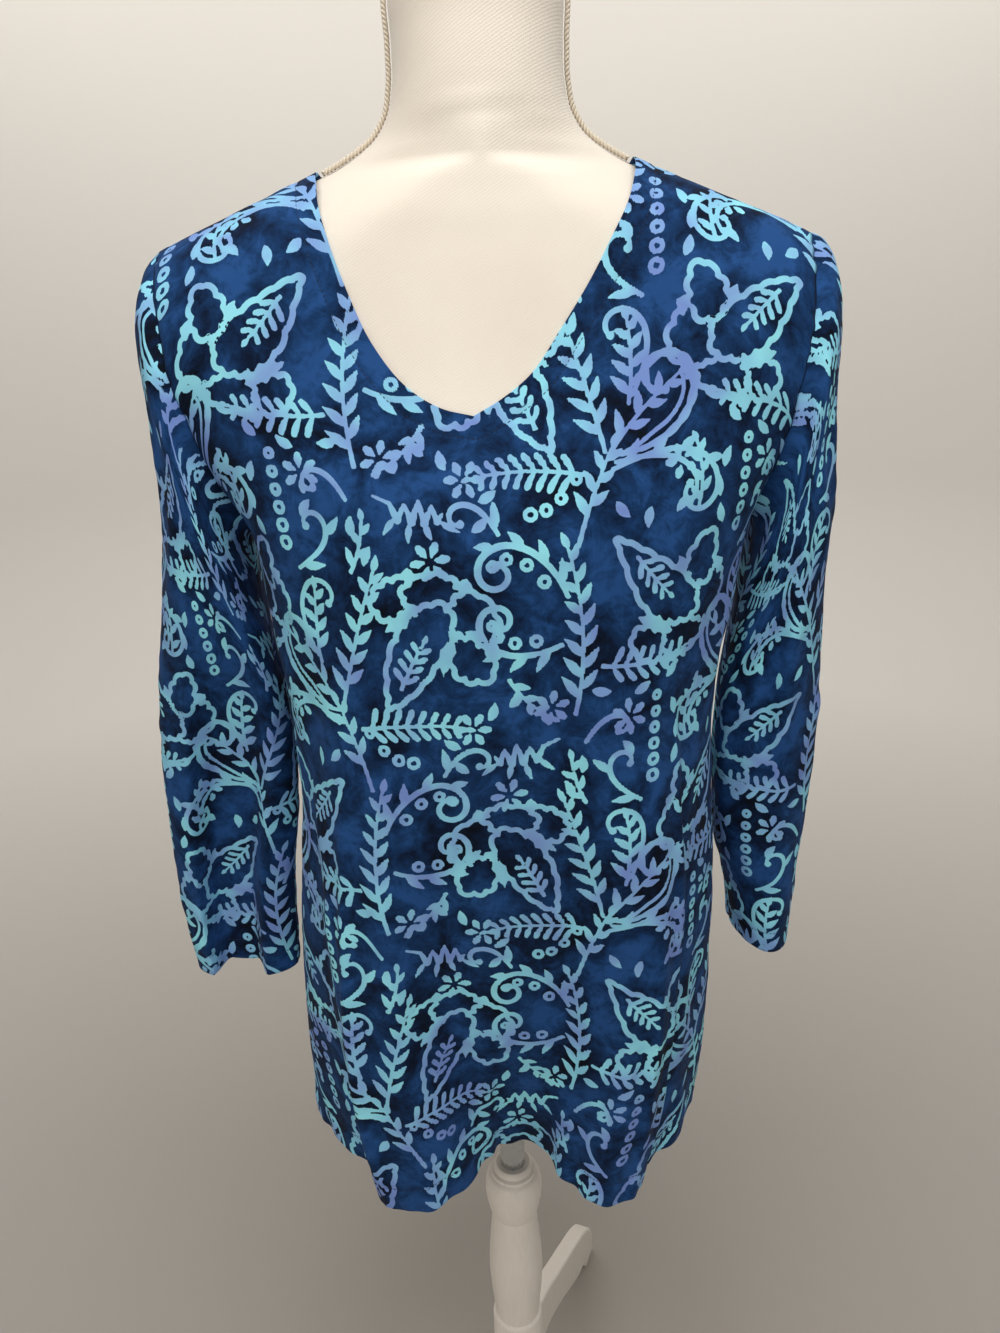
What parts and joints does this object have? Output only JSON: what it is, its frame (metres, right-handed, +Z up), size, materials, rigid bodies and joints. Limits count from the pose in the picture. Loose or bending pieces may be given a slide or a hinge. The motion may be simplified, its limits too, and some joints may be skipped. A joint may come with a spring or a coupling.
{
  "type": "tunic top on a dress form",
  "caption": "V-neck long-sleeved tunic in blue batik cloth, hanging on a limbless covered dress form with a turned wooden tripod stand.",
  "frame": {"origin": "on the floor, under the middle of the whole object", "axes": "+Z up along the stand's tube, -Y out of the tunic's front, +X to the right in front view"},
  "size_m": [0.5644, 0.4736, 1.4755],
  "materials": {
    "batik_cloth": "soft viscose with a faint sheen, wax-resist print",
    "cotton_cover": "fine cotton knit, matt",
    "cotton_braid": "looped cotton cord, matt",
    "chromed_tube": "polished, ribbed lengthwise",
    "whitewashed_wood": "whitewash under satin lacquer"
  },
  "bodies": {
    "root": {"front": "batik_cloth", "back": "batik_cloth", "sleeve_left": "batik_cloth", "sleeve_right": "batik_cloth", "dress_form": "cotton_cover", "neck_braid_left": "cotton_braid", "neck_braid_right": "cotton_braid", "pole": "chromed_tube", "turned_post": "whitewashed_wood", "leg_back": "whitewashed_wood", "leg_front": "whitewashed_wood", "leg_side": "whitewashed_wood"}
  },
  "joints": []
}
